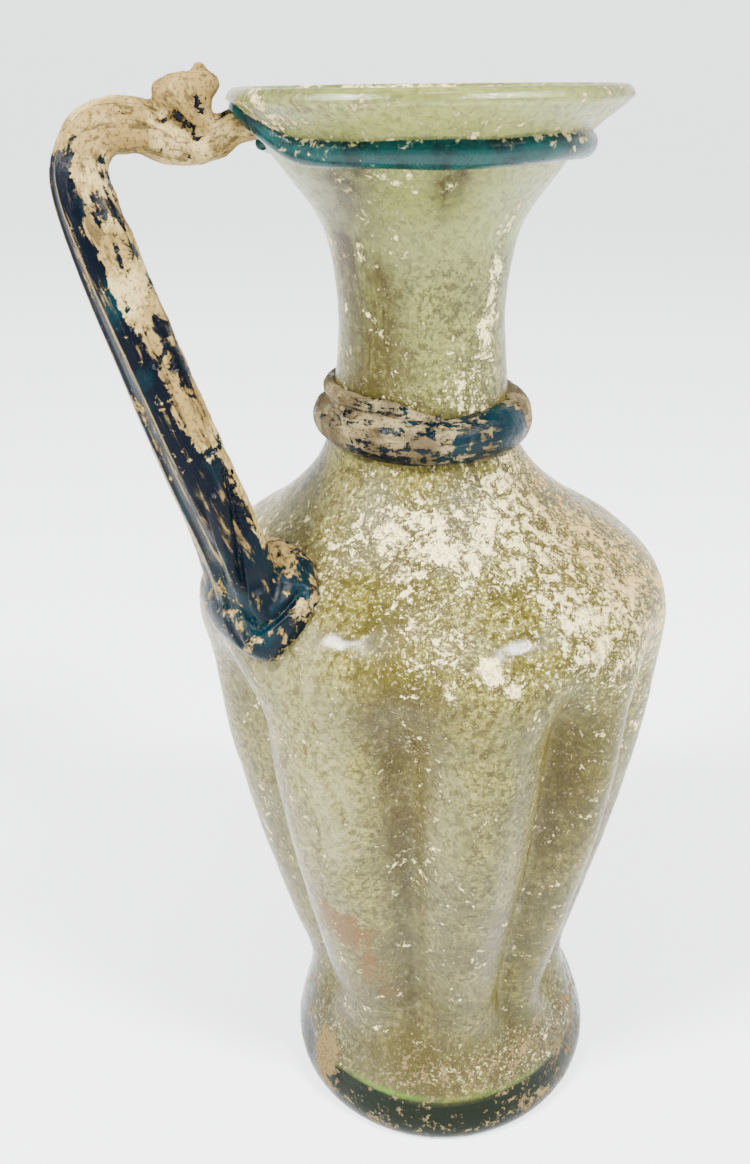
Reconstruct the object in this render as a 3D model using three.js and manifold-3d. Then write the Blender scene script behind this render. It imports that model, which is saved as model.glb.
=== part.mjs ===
// Blown glass jug with eight tooled flutes, a trail under its rim, a coil round its neck
// and one strap handle. Millimetres and degrees, +Z up, the origin at the middle of the
// flat underside. A bearing of 0 points along -Y and grows towards +X, so the handle
// springs from the -X side.
import * as THREE from "three";
import { mergeVertices } from "three/addons/utils/BufferGeometryUtils.js";
import Module from "manifold-3d";

const wasm = await Module();
wasm.setup();

// Vessel: one gather of pale green glass, blown, tooled and flared
const RIM_HEIGHT = 200;
const STAND_RADIUS = 30.4;
const FOOT_RADIUS = 33.4;
const WAIST_RADIUS = 28.8;
const BODY_RADIUS = 43.9;
const NECK_RADIUS = 14.2;
const RIM_RADIUS = 32.2;
const WALL = 2;
const FOOT_WALL = 4.5;
const BASE_THICKNESS = 8;
const LIP_THICKNESS = 4;
const LEAN = 5.2;
const LEAN_BEARING = -123;
const RIM_TILT = 1.2;
const RIM_DENT = 2.6;

// Flutes: the valley between two lobes, with the maker's uneven spacing
const FLUTE_DEPTH = 8.3;
const FIRST_FLUTE = -91;
const FLUTE_SHIFTS = [0, 6, 2, -14, -18, -17, -17, -7];

// Applied glass: trail under the rim, coil round the neck
const TRAIL_THICKNESS = 4.4;
const TRAIL_DROP = 8.2;
const COIL_THICKNESS = 9;
const COIL_TURN_THICKNESS = 3;
const COIL_HEIGHT = 148.6;

// Handle: one ribbed strap from the rim to a pad on the shoulder
const HANDLE_REACH = 56.2;
const HANDLE_TOP_BEARING = -108.5;
const HANDLE_FOOT_BEARING = -82;
const STRAP_WIDTH = 10.4;
const STRAP_THICKNESS = 7.2;
const RIB_DEPTH = 0.45;
const PAD_THICKNESS = 6.5;
const THUMB_REST_RISE = 9.6;

// Neighbouring pieces keep this clearance
const TOUCH_GAP = 0.3;

// Facets
const FLUTE_STEPS = 7;
const OUTER_RINGS = 26;
const INNER_RINGS = 13;
const TUBE_SIDES = 8;
const STRAP_SIDES = 16;
const STRAP_STEPS = 34;

const UP = new THREE.Vector3(0, 0, 1);
const FLUTE_COUNT = FLUTE_SHIFTS.length;

function bearing(degrees) {
  const angle = THREE.MathUtils.degToRad(degrees);
  return new THREE.Vector3(Math.sin(angle), -Math.cos(angle), 0);
}

function mix(a, b, share) {
  return a + (b - a) * share;
}

function rise(value, from, to) {
  return THREE.MathUtils.smoothstep(value, from, to);
}

// Outline of the vessel's outside, from the edge of the underside to the widest of the rim
function vesselOutline() {
  const toWaist = (share) => mix(WAIST_RADIUS, FOOT_RADIUS, share);
  const toBody = (share) => mix(WAIST_RADIUS, BODY_RADIUS, share);
  const toShoulder = (share) => mix(NECK_RADIUS, BODY_RADIUS, share);
  const toRim = (share) => mix(NECK_RADIUS, RIM_RADIUS, share);
  const stations = [
    [0, STAND_RADIUS],
    [0.004, mix(STAND_RADIUS, FOOT_RADIUS, 0.8)],
    [0.018, FOOT_RADIUS],
    [0.05, toWaist(0.66)],
    [0.08, toWaist(0.28)],
    [0.125, WAIST_RADIUS],
    [0.2, toBody(0.23)],
    [0.28, toBody(0.48)],
    [0.36, toBody(0.71)],
    [0.44, toBody(0.89)],
    [0.52, toBody(0.985)],
    [0.57, BODY_RADIUS],
    [0.6, toShoulder(0.94)],
    [0.625, toShoulder(0.79)],
    [0.66, toShoulder(0.44)],
    [0.7, toShoulder(0.17)],
    [0.735, toShoulder(0.06)],
    [0.78, toShoulder(0.022)],
    [0.84, NECK_RADIUS],
    [0.9, toRim(0.12)],
    [0.94, toRim(0.43)],
    [0.965, toRim(0.66)],
    [0.982, toRim(0.9)],
  ];
  const points = stations.map(([share, radius]) => new THREE.Vector3(radius, share * RIM_HEIGHT, 0));
  points.push(new THREE.Vector3(RIM_RADIUS, RIM_HEIGHT - LIP_THICKNESS / 2, 0));
  return new THREE.CatmullRomCurve3(points, false, "centripetal");
}

const outline = vesselOutline();

// A point of the outline at a share of its length, moved out along its own normal
function outlinePoint(share, offset) {
  const point = outline.getPointAt(share);
  const tangent = outline.getTangentAt(share);
  return new THREE.Vector2(point.x + tangent.y * offset, point.y - tangent.x * offset);
}

// The outline's radius at a height, by halving the stretch that holds it
function radiusAt(height) {
  let low = 0;
  let high = 1;
  for (let i = 0; i < 24; i += 1) {
    const middle = (low + high) / 2;
    if (outline.getPointAt(middle).y < height) {
      low = middle;
    } else {
      high = middle;
    }
  }
  return outline.getPointAt(low).x;
}

// The neck and mouth stand a little to one side of the foot
function axisAt(height) {
  const share = height / RIM_HEIGHT;
  const amount = 0.42 * rise(share, 0, 0.22) + 0.58 * rise(share, 0.5, 0.76);
  return bearing(LEAN_BEARING).multiplyScalar(LEAN * amount);
}

// Bearings of the flute valleys, and the depth of the groove between two lobes
const valleys = FLUTE_SHIFTS.map((shift, i) => FIRST_FLUTE + (360 / FLUTE_COUNT) * i + shift);
valleys.push(valleys[0] + 360);

function grooveDepth(height, across) {
  const share = height / RIM_HEIGHT;
  const along = rise(share, 0.06, 0.17) * (1 - rise(share, 0.5, 0.605));
  const cross = 1.12 - Math.hypot(Math.sin(Math.PI * across), 0.12);
  return FLUTE_DEPTH * along * cross * (radiusAt(height) / BODY_RADIUS);
}

// The rim is pressed in a little where the handle was laid on it
function rimDent(height, direction) {
  const share = height / RIM_HEIGHT;
  const turn = THREE.MathUtils.euclideanModulo(direction - HANDLE_TOP_BEARING + 180, 360) - 180;
  return RIM_DENT * rise(share, 0.955, 0.985) * Math.exp(-Math.pow(turn / 24, 2));
}

// A point of the vessel: radius and height of a plain turned form, bent to the real one
function vesselPoint(radius, height, direction, across) {
  const depth = grooveDepth(height, across) + rimDent(height, direction);
  const outward = bearing(direction);
  const point = axisAt(height).addScaledVector(outward, radius - depth);
  const slope = Math.tan(THREE.MathUtils.degToRad(RIM_TILT)) * rise(height / RIM_HEIGHT, 0.82, 1);
  const sideways = bearing(LEAN_BEARING).dot(outward) * radius;
  point.z = height - slope * sideways;
  return point;
}

function acrossFlute(direction) {
  const turned = THREE.MathUtils.euclideanModulo(direction - valleys[0], 360) + valleys[0];
  const i = valleys.findIndex((valley, k) => turned >= valley && turned < valleys[k + 1]);
  return (turned - valleys[i]) / (valleys[i + 1] - valleys[i]);
}

// A point on the outside of the vessel, lifted off it by a distance
function surfacePoint(height, direction, lift) {
  const radius = radiusAt(height);
  const step = 0.5;
  const slope = (radiusAt(height + step) - radiusAt(height - step)) / (2 * step);
  const length = Math.hypot(1, slope);
  const across = acrossFlute(direction);
  return vesselPoint(radius + lift / length, height - (lift * slope) / length, direction, across);
}

function vesselRing(radius, height) {
  const ring = [];
  for (let flute = 0; flute < FLUTE_COUNT; flute += 1) {
    for (let step = 0; step < FLUTE_STEPS; step += 1) {
      const across = step / FLUTE_STEPS;
      const direction = mix(valleys[flute], valleys[flute + 1], across);
      ring.push(vesselPoint(radius, height, direction, across));
    }
  }
  return ring;
}

// Closed skin over rings of equal count, with a fan over each end
function skin(rings) {
  const count = rings[0].length;
  const positions = [];
  const triangles = [];
  rings.forEach((ring) => ring.forEach((point) => positions.push(point.x, point.y, point.z)));
  for (let k = 0; k < rings.length - 1; k += 1) {
    for (let j = 0; j < count; j += 1) {
      const a = k * count + j;
      const b = k * count + ((j + 1) % count);
      triangles.push(a, b, b + count, a, b + count, a + count);
    }
  }
  [0, rings.length - 1].forEach((k) => {
    const middle = rings[k].reduce((sum, point) => sum.add(point), new THREE.Vector3());
    middle.divideScalar(count);
    const centre = positions.length / 3;
    positions.push(middle.x, middle.y, middle.z);
    for (let j = 0; j < count; j += 1) {
      const a = k * count + j;
      const b = k * count + ((j + 1) % count);
      if (k === 0) {
        triangles.push(centre, b, a);
      } else {
        triangles.push(centre, a, b);
      }
    }
  });
  const geometry = new THREE.BufferGeometry();
  geometry.setAttribute("position", new THREE.Float32BufferAttribute(positions, 3));
  geometry.setIndex(triangles);
  return facedOutwards(geometry);
}

// Turns a closed skin inside out if its faces point into it
function facedOutwards(geometry) {
  const place = geometry.attributes.position;
  const index = geometry.index.array;
  const a = new THREE.Vector3();
  const b = new THREE.Vector3();
  const c = new THREE.Vector3();
  let volume = 0;
  for (let i = 0; i < index.length; i += 3) {
    a.fromBufferAttribute(place, index[i]);
    b.fromBufferAttribute(place, index[i + 1]);
    c.fromBufferAttribute(place, index[i + 2]);
    volume += a.dot(b.cross(c));
  }
  if (volume < 0) {
    for (let i = 0; i < index.length; i += 3) {
      [index[i + 1], index[i + 2]] = [index[i + 2], index[i + 1]];
    }
  }
  return geometry;
}

function toSolid(geometry) {
  const merged = mergeVertices(geometry, 1e-5);
  return new wasm.Manifold(new wasm.Mesh({
    numProp: 3,
    vertProperties: new Float32Array(merged.attributes.position.array),
    triVerts: new Uint32Array(merged.index.array),
  }));
}

function toGeometry(solid) {
  const mesh = solid.getMesh();
  const geometry = new THREE.BufferGeometry();
  geometry.setAttribute("position", new THREE.Float32BufferAttribute(mesh.vertProperties, 3));
  geometry.setIndex(Array.from(mesh.triVerts));
  geometry.computeVertexNormals();
  return geometry;
}

// Rings over the outside of the vessel and its rolled lip, grown by an offset
function outsideRings(offset) {
  const rings = [];
  for (let i = 0; i <= OUTER_RINGS; i += 1) {
    const point = outlinePoint(i / OUTER_RINGS, offset);
    rings.push(vesselRing(point.x, i === 0 ? -offset : point.y));
  }
  const roll = LIP_THICKNESS / 2;
  const lipSteps = 4;
  for (let i = 1; i <= lipSteps; i += 1) {
    const angle = (Math.PI * i) / lipSteps;
    const radius = RIM_RADIUS - roll + (roll + offset) * Math.cos(angle);
    rings.push(vesselRing(radius, RIM_HEIGHT - roll + (roll + offset) * Math.sin(angle)));
  }
  return rings;
}

// Rings down the inside: the wall's thickness grows towards the solid base
function insideRings() {
  const rings = [];
  const highest = 0.965;
  const lowest = 0.115;
  for (let i = 0; i <= INNER_RINGS; i += 1) {
    const share = mix(highest, lowest, i / INNER_RINGS);
    const height = outline.getPointAt(share).y / RIM_HEIGHT;
    const wall = mix(FOOT_WALL, WALL, rise(height, 0.05, 0.16));
    const point = outlinePoint(share, -wall);
    rings.push(vesselRing(point.x, point.y));
  }
  const last = outlinePoint(lowest, -FOOT_WALL);
  const fall = last.y - BASE_THICKNESS;
  rings.push(vesselRing(last.x - 0.15 * fall, BASE_THICKNESS + 0.4 * fall));
  rings.push(vesselRing(last.x - 0.6 * fall, BASE_THICKNESS + 0.08 * fall));
  rings.push(vesselRing(last.x / 2, BASE_THICKNESS));
  return rings;
}

function makeVessel() {
  return skin([...outsideRings(0), ...insideRings()]);
}

// A tube of changing thickness along a list of stations {centre, radius}
function tube(stations) {
  const rings = stations.map(({ centre, radius }, i) => {
    const before = stations[Math.max(i - 1, 0)].centre;
    const after = stations[Math.min(i + 1, stations.length - 1)].centre;
    const along = after.clone().sub(before).normalize();
    const side = new THREE.Vector3().crossVectors(UP, along).normalize();
    const above = new THREE.Vector3().crossVectors(along, side);
    const ring = [];
    for (let j = 0; j < TUBE_SIDES; j += 1) {
      const angle = (2 * Math.PI * j) / TUBE_SIDES;
      const point = centre.clone().addScaledVector(side, radius * Math.cos(angle));
      ring.push(point.addScaledVector(above, radius * Math.sin(angle)));
    }
    return ring;
  });
  return toSolid(skin(rings));
}

// The trail starts high on the rim by the handle and runs once round under the rim
function trailTube(growth) {
  const start = HANDLE_TOP_BEARING + 2;
  const turn = 348;
  const steps = 36;
  const stations = [];
  for (let i = 0; i <= steps; i += 1) {
    const share = i / steps;
    const climb = TRAIL_DROP * 0.62 * (1 - rise(share, 0, 0.1));
    const taper = mix(0.5, 1, Math.min(rise(share, 0, 0.09), 1 - rise(share, 0.95, 1)));
    const height = RIM_HEIGHT - TRAIL_DROP + climb;
    stations.push({
      centre: surfacePoint(height, start + turn * share, 0),
      radius: (TRAIL_THICKNESS / 2) * taper + growth,
    });
  }
  return tube(stations);
}

// The coil: a thick turn round the neck's base, laid in two overlapping lengths, and on its
// top the thin first turn that it grew from
function coilTurn(growth) {
  const thick = COIL_THICKNESS / 2;
  const station = (share) => {
    const direction = 40 + 360 * share;
    const swell = 0.9 + 0.06 * Math.cos(THREE.MathUtils.degToRad(direction - 60));
    const height = COIL_HEIGHT + COIL_THICKNESS * mix(0.055, -0.045, share);
    return { centre: surfacePoint(height, direction, -0.08 * thick), radius: thick * swell + growth };
  };
  const length = (from, to) => {
    const steps = 14;
    const stations = [];
    for (let i = 0; i <= steps; i += 1) {
      stations.push(station(mix(from, to, i / steps)));
    }
    return tube(stations);
  };
  return length(0, 0.53).add(length(0.5, 1.03));
}

function coilFirstTurn() {
  const thick = COIL_THICKNESS / 2;
  const thin = COIL_TURN_THICKNESS / 2;
  const steps = 22;
  const stations = [];
  for (let i = 0; i <= steps; i += 1) {
    const share = i / steps;
    const direction = -20 - 205 * share;
    const centre = surfacePoint(COIL_HEIGHT, direction, 0);
    centre.addScaledVector(UP, mix(0.75 * thick, thick + 0.4 * thin, rise(share, 0, 0.2)));
    stations.push({ centre, radius: thin * mix(0.55, 1, rise(share, 0, 0.15)) });
  }
  return tube(stations);
}

// Strap stations: share of the reach, height as a share of the rim's, share of the way
// from the top bearing to the foot bearing, width and thickness against the strap's own
const STRAP_STATIONS = [
  [0.51, 0.972, 0.0, 0.65, 0.6],
  [0.6, 0.969, 0.0, 0.72, 0.7],
  [0.665, 0.96, 0.01, 0.84, 0.82],
  [0.755, 0.959, 0.02, 0.92, 0.92],
  [0.85, 0.97, 0.03, 0.98, 1.08],
  [0.94, 0.967, 0.05, 1.02, 1.1],
  [0.988, 0.95, 0.1, 1.04, 1.1],
  [0.995, 0.928, 0.17, 1.08, 1.2],
  [0.956, 0.881, 0.31, 1.14, 1.31],
  [0.9, 0.818, 0.5, 1.2, 1.34],
  [0.84, 0.748, 0.69, 1.27, 1.38],
  [0.79, 0.694, 0.82, 1.38, 1.38],
  [0.764, 0.655, 0.91, 1.55, 1.3],
  [0.76, 0.625, 0.99, 1.65, 1.1],
  [0.75, 0.602, 1.08, 1.1, 0.8],
];

function strapSample(share) {
  const last = STRAP_STATIONS.length - 1;
  const columns = [0, 1, 2, 3, 4].map((column) => {
    const points = STRAP_STATIONS.map((row, i) => new THREE.Vector2(i / last, row[column]));
    return new THREE.SplineCurve(points).getPoint(share).y;
  });
  const direction = mix(HANDLE_TOP_BEARING, HANDLE_FOOT_BEARING, columns[2]);
  const centre = bearing(direction).multiplyScalar(HANDLE_REACH * columns[0]);
  centre.z = RIM_HEIGHT * columns[1];
  return {
    centre,
    direction,
    width: STRAP_WIDTH * columns[3],
    thickness: STRAP_THICKNESS * columns[4],
  };
}

// A rounded band: flattened sides, with ribs along its outer face
function bandRing(sample, along, ribs) {
  const side = bearing(sample.direction + 90);
  side.addScaledVector(along, -side.dot(along)).normalize();
  const face = new THREE.Vector3().crossVectors(along, side).normalize();
  const ring = [];
  for (let j = 0; j < STRAP_SIDES; j += 1) {
    const angle = (2 * Math.PI * (j + 0.5)) / STRAP_SIDES;
    const across = Math.sign(Math.cos(angle)) * Math.pow(Math.abs(Math.cos(angle)), 0.75);
    const out = Math.sign(Math.sin(angle)) * Math.pow(Math.abs(Math.sin(angle)), 0.75);
    const wave = out > 0 ? ribs * Math.cos(4.6 * Math.PI * across / 2) : 0;
    const point = sample.centre.clone().addScaledVector(side, (sample.width / 2) * across);
    ring.push(point.addScaledVector(face, (sample.thickness / 2) * out + wave));
  }
  return ring;
}

function alongAt(samples, i) {
  const before = samples[Math.max(i - 1, 0)].centre;
  const after = samples[Math.min(i + 1, samples.length - 1)].centre;
  return after.clone().sub(before).normalize();
}

function makeStrap() {
  const samples = [];
  for (let i = 0; i <= STRAP_STEPS; i += 1) {
    samples.push(strapSample(i / STRAP_STEPS));
  }
  const rings = samples.map((sample, i) => bandRing(sample, alongAt(samples, i), RIB_DEPTH));
  return toSolid(skin(rings));
}

// The strap's end is folded up and back on itself over the rim as a thumb rest
function makeThumbRest() {
  const root = strapSample(2.2 / (STRAP_STATIONS.length - 1));
  const outward = bearing(root.direction);
  const stations = [
    [0, -0.06, 0.6, 0.5],
    [0.07, 0.18, 0.8, 0.72],
    [0.25, 0.38, 0.92, 1.0],
    [0.35, 0.58, 1.0, 1.2],
    [0.28, 0.77, 0.95, 1.38],
    [0.17, 0.92, 0.78, 1.1],
    [0.1, 1.0, 0.45, 0.55],
  ];
  const samples = stations.map(([out, up, width, thickness]) => {
    const centre = root.centre.clone().addScaledVector(UP, THUMB_REST_RISE * up);
    return {
      centre: centre.addScaledVector(outward, STRAP_THICKNESS * out),
      direction: root.direction,
      width: STRAP_WIDTH * width,
      thickness: STRAP_THICKNESS * thickness,
    };
  });
  const tip = samples[samples.length - 1].centre;
  const nub = new THREE.SphereGeometry(STRAP_THICKNESS * 0.19, 8, 6);
  nub.deleteAttribute("normal");
  nub.deleteAttribute("uv");
  nub.translate(...tip.clone().addScaledVector(outward, -0.11 * STRAP_THICKNESS).toArray());
  const rings = samples.map((sample) => bandRing(sample, UP, 0));
  return toSolid(skin(rings)).add(toSolid(nub));
}

// The pad where the strap was pressed on the shoulder: turns and drops from its middle,
// in degrees of bearing and in shares of the rim's height
const PAD_HEIGHT = 0.624;
const PAD_OUTLINE = [
  [20, 0.014],
  [19.5, -0.004],
  [17, -0.018],
  [14, -0.031],
  [4, -0.03],
  [-6, -0.024],
  [-16, -0.012],
  [-17, 0.006],
  [-10, 0.026],
  [2, 0.031],
  [12, 0.028],
];

function makePad() {
  const edge = new THREE.SplineCurve([
    ...PAD_OUTLINE.map(([turn, drop]) => new THREE.Vector2(turn, drop)),
    new THREE.Vector2(...PAD_OUTLINE[0]),
  ]);
  const sides = 22;
  const rings = [];
  const shares = [1, 0.97, 0.85, 0.6, 0.3];
  const point = (share, lift) => {
    const ring = [];
    for (let j = 0; j < sides; j += 1) {
      const corner = edge.getPoint(j / sides);
      const height = RIM_HEIGHT * (PAD_HEIGHT + corner.y * share);
      ring.push(surfacePoint(height, HANDLE_FOOT_BEARING + corner.x * share, lift));
    }
    return ring;
  };
  rings.push(point(0.5, -WALL / 2));
  rings.push(point(1, -WALL / 2));
  shares.forEach((share) => {
    rings.push(point(share, PAD_THICKNESS * (0.22 + 0.78 * Math.sqrt(1 - share * share))));
  });
  return toSolid(skin(rings));
}

const grownVessel = toSolid(skin(outsideRings(TOUCH_GAP)));

function makeCoil() {
  return coilTurn(0).add(coilFirstTurn()).subtract(grownVessel);
}

function makeHandle() {
  const joined = makeStrap().add(makeThumbRest()).add(makePad());
  return joined.subtract(grownVessel).subtract(trailTube(TOUCH_GAP)).subtract(coilTurn(TOUCH_GAP));
}

// Keeps the largest body of a solid and drops the crumbs of a cut
function largestBody(solid) {
  const bodies = solid.decompose();
  bodies.sort((a, b) => b.volume() - a.volume());
  return bodies[0];
}

function addPiece(group, name, geometry, colour, roughness) {
  const material = new THREE.MeshStandardMaterial({ color: colour, roughness, metalness: 0 });
  const mesh = new THREE.Mesh(geometry, material);
  mesh.name = name;
  group.add(mesh);
}

const jug = new THREE.Group();
addPiece(jug, "vessel", makeVessel(), 0xb9bd92, 0.3);
addPiece(jug, "rim_trail", toGeometry(largestBody(trailTube(0).subtract(grownVessel))), 0x1d6f6c, 0.3);
addPiece(jug, "neck_coil", toGeometry(largestBody(makeCoil())), 0x20394a, 0.4);
addPiece(jug, "handle", toGeometry(largestBody(makeHandle())), 0x3a3f42, 0.4);

export default jug;
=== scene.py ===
import bpy
import numpy as np
from mathutils import Matrix, Vector, noise


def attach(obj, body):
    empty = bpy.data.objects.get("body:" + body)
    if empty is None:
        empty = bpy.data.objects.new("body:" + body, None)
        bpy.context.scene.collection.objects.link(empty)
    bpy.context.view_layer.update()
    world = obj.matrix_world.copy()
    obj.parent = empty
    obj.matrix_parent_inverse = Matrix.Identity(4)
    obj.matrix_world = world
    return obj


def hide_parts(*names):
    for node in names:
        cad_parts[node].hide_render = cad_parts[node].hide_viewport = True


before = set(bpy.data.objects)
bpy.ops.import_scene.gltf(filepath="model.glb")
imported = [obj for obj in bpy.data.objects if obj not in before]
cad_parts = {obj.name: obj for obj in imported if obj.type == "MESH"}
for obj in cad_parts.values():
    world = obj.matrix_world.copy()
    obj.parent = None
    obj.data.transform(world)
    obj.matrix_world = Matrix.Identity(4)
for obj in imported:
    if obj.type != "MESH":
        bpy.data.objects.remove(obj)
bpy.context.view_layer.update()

# The vessel
# One gather of pale green glass, blown thin over a solid base, pinched into eight lobes and
# flared at the mouth. Burial has left a chalky film, stains and cream flakes on it.
RIM_HEIGHT = 200.0
STAND_RADIUS = 30.4
FOOT_RADIUS = 33.4
WAIST_RADIUS = 28.8
BODY_RADIUS = 43.9
NECK_RADIUS = 14.2
RIM_RADIUS = 32.2
WALL = 2.0
FOOT_WALL = 4.5
BASE_THICKNESS = 8.0
LIP_THICKNESS = 4.0
LEAN = 5.2
LEAN_BEARING = -123.0
RIM_TILT = 1.2
RIM_DENT = 2.6
FLUTES = 8
FLUTE_DEPTH = 8.3
FIRST_FLUTE = -91.0
FLUTE_SHIFTS = (0, 6, 2, -14, -18, -17, -17, -7)
HANDLE_TOP_BEARING = -108.5
# How far the bare glass lies under the solid's surface, and how far its relief goes from there
SKIN = 0.25
SWELLING = 0.22
CRUST_LUMP = 0.55
# Height of the edge of the dark solid base, as it shows through the wall
BASE_LINE = 11.9
# Rows and columns of the mesh, and the metres in a millimetre: all sizes are in millimetres
COLUMNS = 288
OUTER_ROWS = 232
INNER_ROWS = 50
LIP_ROWS = 12
MM = 0.001


def mix(a, b, share):
    return a + (b - a) * share


def rise(value, start, end):
    t = np.clip((value - start) / (end - start), 0.0, 1.0)
    return t * t * (3.0 - 2.0 * t)


def bearing(degrees):
    angle = np.radians(degrees)
    return np.stack([np.sin(angle), -np.cos(angle), np.zeros_like(angle)], -1)


def flowing(points, count):
    """A smooth line through the points, with its samples evenly spaced"""
    p = np.array(points, float)
    p = np.vstack([2 * p[0] - p[1], p, 2 * p[-1] - p[-2]])
    t = np.linspace(0.0, 1.0, 60)[:, None]
    line = []
    for k in range(1, len(p) - 2):
        a, b, c = np.sqrt(np.linalg.norm(np.diff(p[k - 1 : k + 3], axis=0), axis=1))
        leave = b * ((p[k] - p[k - 1]) / a - (p[k + 1] - p[k - 1]) / (a + b)) + p[k + 1] - p[k]
        reach = b * ((p[k + 2] - p[k + 1]) / c - (p[k + 2] - p[k]) / (b + c)) + p[k + 1] - p[k]
        step = p[k + 1] - p[k]
        bend = 3 * step - 2 * leave - reach
        twist = leave + reach - 2 * step
        line.append((p[k] + leave * t + bend * t**2 + twist * t**3)[:-1])
    line = np.vstack(line + [p[-2][None]])
    length = np.concatenate([[0], np.cumsum(np.linalg.norm(np.diff(line, axis=0), axis=1))])
    even = np.linspace(0, length[-1], count)
    return np.stack([np.interp(even, length, line[:, i]) for i in range(p.shape[1])], -1)


vessel_stations = [
    (STAND_RADIUS, 0.0),
    (mix(STAND_RADIUS, FOOT_RADIUS, 0.8), 0.004),
    (FOOT_RADIUS, 0.018),
    (mix(WAIST_RADIUS, FOOT_RADIUS, 0.66), 0.05),
    (mix(WAIST_RADIUS, FOOT_RADIUS, 0.28), 0.08),
    (WAIST_RADIUS, 0.125),
    (mix(WAIST_RADIUS, BODY_RADIUS, 0.23), 0.2),
    (mix(WAIST_RADIUS, BODY_RADIUS, 0.48), 0.28),
    (mix(WAIST_RADIUS, BODY_RADIUS, 0.71), 0.36),
    (mix(WAIST_RADIUS, BODY_RADIUS, 0.89), 0.44),
    (mix(WAIST_RADIUS, BODY_RADIUS, 0.985), 0.52),
    (BODY_RADIUS, 0.57),
    (mix(NECK_RADIUS, BODY_RADIUS, 0.94), 0.6),
    (mix(NECK_RADIUS, BODY_RADIUS, 0.79), 0.625),
    (mix(NECK_RADIUS, BODY_RADIUS, 0.44), 0.66),
    (mix(NECK_RADIUS, BODY_RADIUS, 0.17), 0.7),
    (mix(NECK_RADIUS, BODY_RADIUS, 0.06), 0.735),
    (mix(NECK_RADIUS, BODY_RADIUS, 0.022), 0.78),
    (NECK_RADIUS, 0.84),
    (mix(NECK_RADIUS, RIM_RADIUS, 0.12), 0.9),
    (mix(NECK_RADIUS, RIM_RADIUS, 0.43), 0.94),
    (mix(NECK_RADIUS, RIM_RADIUS, 0.66), 0.965),
    (mix(NECK_RADIUS, RIM_RADIUS, 0.9), 0.982),
]
vessel_stations = [(radius, share * RIM_HEIGHT) for radius, share in vessel_stations]
vessel_stations.append((RIM_RADIUS, RIM_HEIGHT - LIP_THICKNESS / 2))
outline = flowing(vessel_stations, 2001)
outline_way = np.gradient(outline, axis=0)
outline_way /= np.linalg.norm(outline_way, axis=1)[:, None]

valleys = FIRST_FLUTE + 360.0 / FLUTES * np.arange(FLUTES) + np.array(FLUTE_SHIFTS)
valleys = np.append(valleys, valleys[0] + 360.0)


def outline_at(share, offset):
    """Radius and height at a share of the outline's length, moved out by the offset"""
    i = np.asarray(share) * (len(outline) - 1)
    steps = np.arange(len(outline))
    radius = np.interp(i, steps, outline[:, 0])
    height = np.interp(i, steps, outline[:, 1])
    out_r = np.interp(i, steps, outline_way[:, 1])
    out_z = -np.interp(i, steps, outline_way[:, 0])
    return radius + out_r * offset, height + out_z * offset


def radius_at(height):
    return np.interp(height, outline[:, 1], outline[:, 0])


def axis_at(height):
    """How far the neck and body lean off the upright line at a height"""
    share = height / RIM_HEIGHT
    amount = 0.42 * rise(share, 0.0, 0.22) + 0.58 * rise(share, 0.5, 0.76)
    return bearing(np.full(np.shape(height), LEAN_BEARING)) * (LEAN * amount)[..., None]


def turn_from(direction, middle):
    return (direction - middle + 180.0) % 360.0 - 180.0


def groove(height, direction):
    """How deep the flutes are pinched in, and a little out on the lobes between them"""
    turned = (direction - valleys[0]) % 360.0 + valleys[0]
    lobe = np.clip(np.searchsorted(valleys, turned, side="right") - 1, 0, FLUTES - 1)
    across = (turned - valleys[lobe]) / (valleys[lobe + 1] - valleys[lobe])
    share = height / RIM_HEIGHT
    along = rise(share, 0.06, 0.17) * (1 - rise(share, 0.5, 0.605))
    cross = 1.13 - np.hypot(np.sin(np.pi * across), 0.13)
    return FLUTE_DEPTH * along * cross * radius_at(height) / BODY_RADIUS


def rim_dent(height, direction):
    pressed = np.exp(-((turn_from(direction, HANDLE_TOP_BEARING) / 24.0) ** 2))
    return RIM_DENT * rise(height / RIM_HEIGHT, 0.955, 0.985) * pressed


def rim_slope(height):
    return np.tan(np.radians(RIM_TILT)) * rise(height / RIM_HEIGHT, 0.82, 1.0)


def bent(radius, height, direction):
    """The turned form bent to the real one: flutes, lean, tilt and dent"""
    outward = bearing(direction)
    pressed = radius - groove(height, direction) - rim_dent(height, direction)
    point = axis_at(height) + outward * pressed[..., None]
    sideways = outward @ bearing(np.float64(LEAN_BEARING)) * radius
    point[..., 2] = height - rim_slope(height) * sideways
    return point


def on_vessel(height, direction, lift):
    """Points lifted off the vessel's surface, square to it"""
    step = 0.5
    slope = (radius_at(height + step) - radius_at(height - step)) / (2 * step)
    length = np.hypot(1.0, slope)
    return bent(radius_at(height) + lift / length, height - lift * slope / length, direction)


def lumps(points, size, octaves, seed):
    """Uneven swelling between about -1 and 1, with lumps of the given size in mm"""
    shift = np.array([17.3, -8.1, 5.7]) * seed
    places = (points / size + shift).tolist()
    return np.array([noise.fractal(Vector(p), 0.7, 2.1, octaves) for p in places])


def patches(height, direction, spots):
    """Soft patches: bearing, height, half width in degrees, half height in mm, strength"""
    total = np.zeros_like(height)
    for middle, level, wide, tall, strength in spots:
        turn = turn_from(direction, middle)
        total += strength * np.exp(-((turn / wide) ** 2) - ((height - level) / tall) ** 2)
    return total


def ring_grid(rows, count, first, last):
    """Faces between rings of equal count, closed by a fan over each end"""
    a = np.arange(rows - 1)[:, None] * count + np.arange(count)[None]
    b = np.arange(rows - 1)[:, None] * count + (np.arange(count)[None] + 1) % count
    faces = np.stack([a, b, b + count, a + count], -1).reshape(-1, 4).tolist()
    top = (rows - 1) * count
    for j in range(count):
        k = (j + 1) % count
        faces.append([first, k, j])
        faces.append([last, top + j, top + k])
    return faces


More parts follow.
